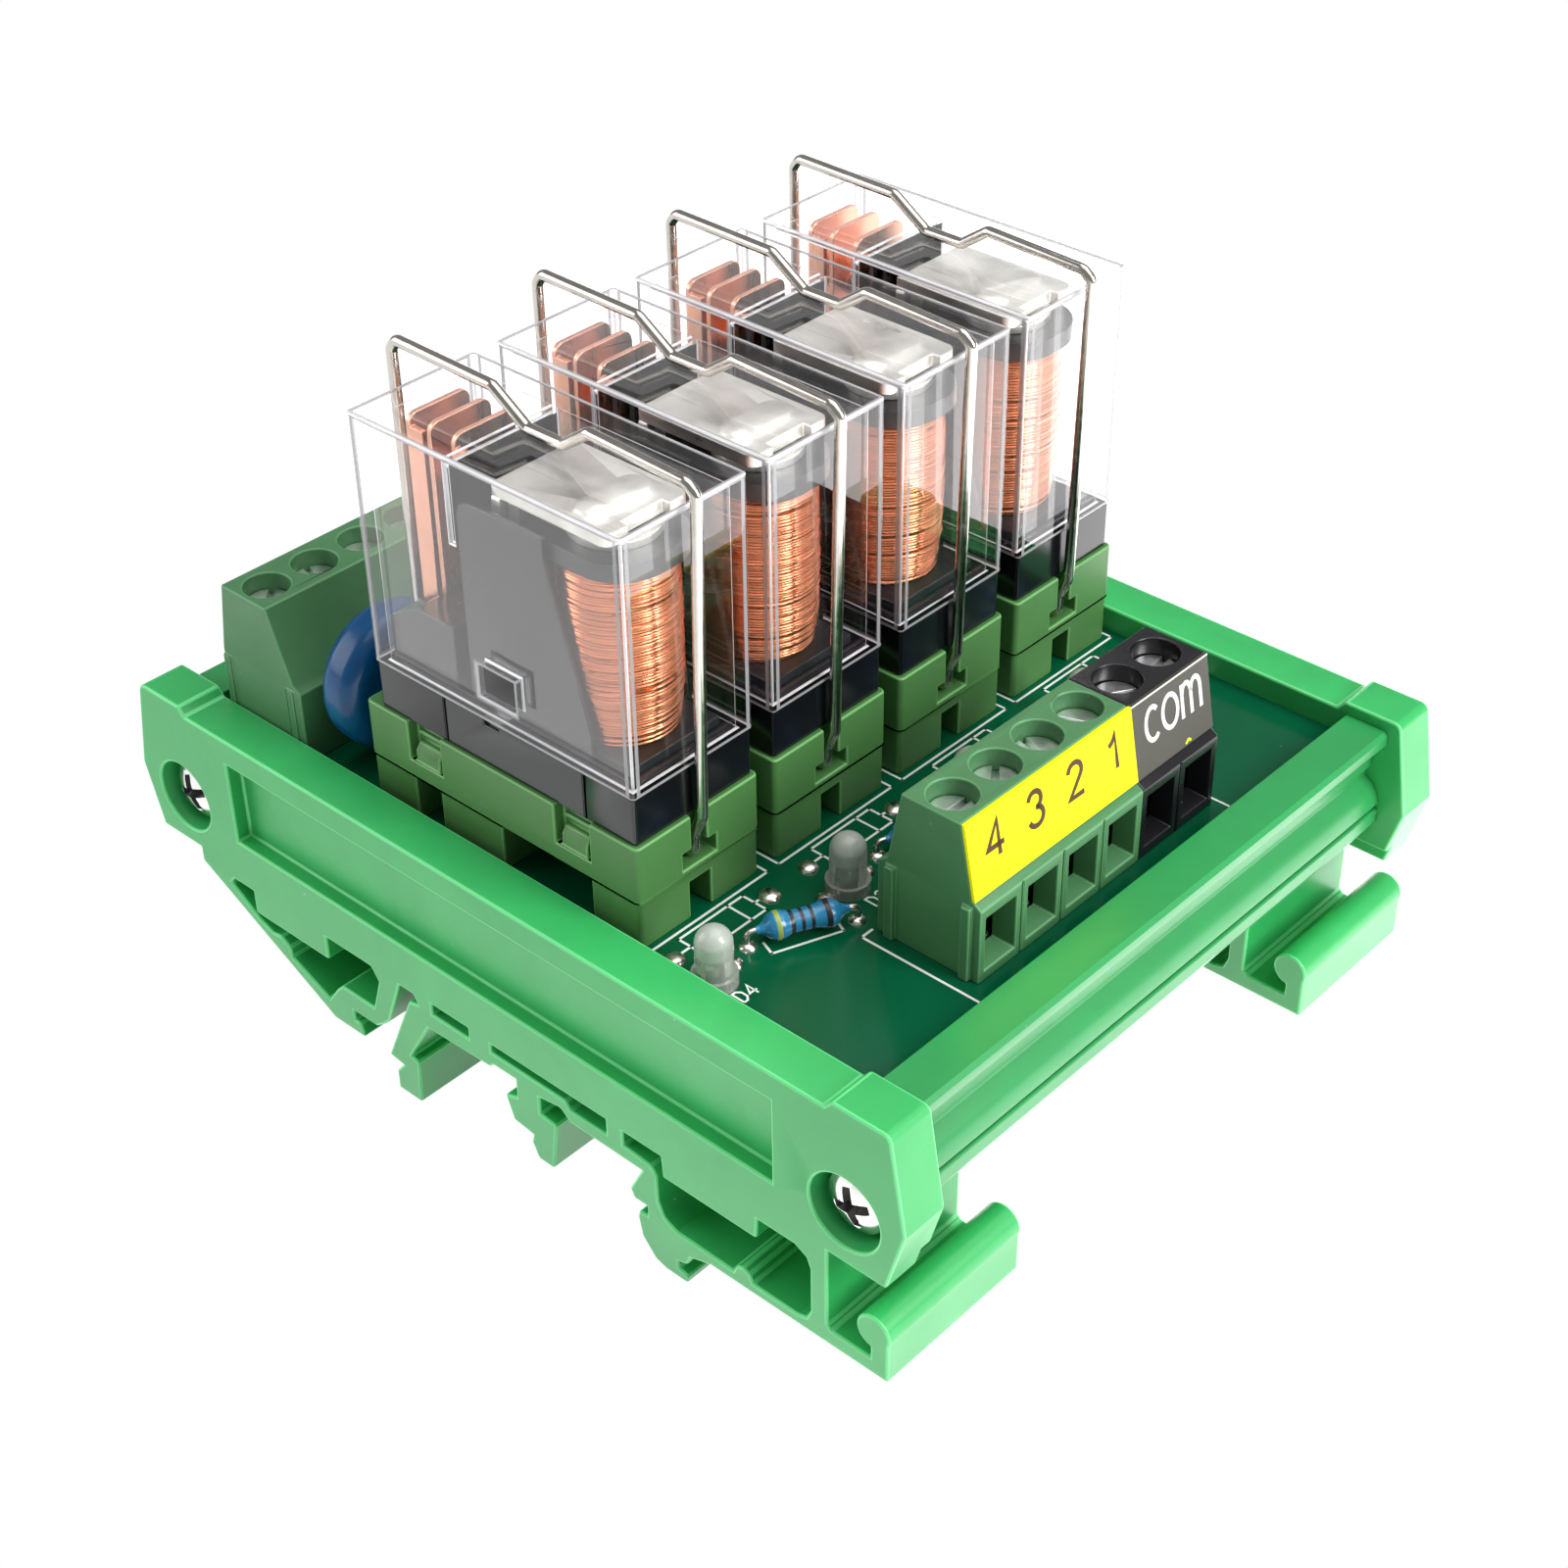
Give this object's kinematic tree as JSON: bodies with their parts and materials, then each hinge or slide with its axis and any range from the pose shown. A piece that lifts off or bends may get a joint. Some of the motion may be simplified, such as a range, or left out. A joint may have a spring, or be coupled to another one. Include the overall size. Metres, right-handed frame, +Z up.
{
  "type": "din rail relay module",
  "caption": "Board with plug-in relays under wire clips, lamps, surge discs and screw terminals, in a plastic carrier with feet for a 35 mm mounting rail.",
  "frame": {"origin": "centre of the bounding box, at the height of the lowest rail hooks", "axes": "+X along the mounting rail, -Y the input terminal side, +Z up"},
  "size_m": [0.0702, 0.0876, 0.0651],
  "materials": {
    "carrier_green": "satin",
    "screw_steel": "satin",
    "board_green": "gloss",
    "socket_green": "matte",
    "spring_steel": "polished",
    "black_plastic": "satin",
    "clear_plastic": "gloss",
    "copper_wire": "gloss",
    "relay_steel": "satin",
    "contact_copper": "satin",
    "blue_coating": "gloss",
    "milky_lens": "satin",
    "terminal_green": "satin",
    "yellow_label": "matte",
    "grey_label": "matte"
  },
  "bodies": {
    "module": {"carrier_profile": "carrier_green", "end_plate_left": "carrier_green", "end_plate_right": "carrier_green", "end_plate_screws": "screw_steel", "circuit_board": "board_green", "relay_socket_1": "socket_green", "relay_socket_2": "socket_green", "relay_socket_3": "socket_green", "relay_socket_4": "socket_green", "retaining_clip_1": "spring_steel", "retaining_clip_2": "spring_steel", "retaining_clip_3": "spring_steel", "retaining_clip_4": "spring_steel", "relay_base_1": "black_plastic", "relay_base_2": "black_plastic", "relay_base_3": "black_plastic", "relay_base_4": "black_plastic", "relay_cover_1": "clear_plastic", "relay_cover_2": "clear_plastic", "relay_cover_3": "clear_plastic", "relay_cover_4": "clear_plastic", "coil_bobbin_1": "black_plastic", "coil_bobbin_2": "black_plastic", "coil_bobbin_3": "black_plastic", "coil_bobbin_4": "black_plastic", "coil_winding_1": "copper_wire", "coil_winding_2": "copper_wire", "coil_winding_3": "copper_wire", "coil_winding_4": "copper_wire", "relay_yoke_1": "relay_steel", "relay_yoke_2": "relay_steel", "relay_yoke_3": "relay_steel", "relay_yoke_4": "relay_steel", "contact_set_1": "contact_copper", "contact_set_2": "contact_copper", "contact_set_3": "contact_copper", "contact_set_4": "contact_copper", "varistor_1": "blue_coating", "varistor_2": "blue_coating", "varistor_3": "blue_coating", "varistor_4": "blue_coating", "indicator_led_1": "milky_lens", "indicator_led_2": "milky_lens", "indicator_led_3": "milky_lens", "indicator_led_4": "milky_lens", "resistor_1": "blue_coating", "resistor_2": "blue_coating", "resistor_3": "blue_coating", "resistor_4": "blue_coating", "input_terminal_block": "terminal_green", "output_terminal_block": "terminal_green", "common_terminal_block": "black_plastic", "terminal_screws": "screw_steel", "terminal_clamps": "screw_steel", "marker_strip_yellow": "yellow_label", "marker_strip_grey": "grey_label"},
    "armature_1": {"relay_armature_1": "relay_steel"},
    "armature_2": {"relay_armature_2": "relay_steel"},
    "armature_3": {"relay_armature_3": "relay_steel"},
    "armature_4": {"relay_armature_4": "relay_steel"}
  },
  "joints": [
    {"name": "armature_hinge_1", "type": "hinge", "parent": "module", "child": "armature_1", "pos_m": [-0.02286, 0.00185, 0.05832], "axis": [1, 0, 0], "range_deg": [0, 2.5], "stiffness_Nm_per_rad": 0.01, "springref_deg": -8.59},
    {"name": "armature_hinge_2", "type": "hinge", "parent": "module", "child": "armature_2", "pos_m": [-0.00762, 0.00185, 0.05832], "axis": [1, 0, 0], "range_deg": [0, 2.5], "stiffness_Nm_per_rad": 0.01, "springref_deg": -8.59},
    {"name": "armature_hinge_3", "type": "hinge", "parent": "module", "child": "armature_3", "pos_m": [0.00762, 0.00185, 0.05832], "axis": [1, 0, 0], "range_deg": [0, 2.5], "stiffness_Nm_per_rad": 0.01, "springref_deg": -8.59},
    {"name": "armature_hinge_4", "type": "hinge", "parent": "module", "child": "armature_4", "pos_m": [0.02286, 0.00185, 0.05832], "axis": [1, 0, 0], "range_deg": [0, 2.5], "stiffness_Nm_per_rad": 0.01, "springref_deg": -8.59}
  ]
}
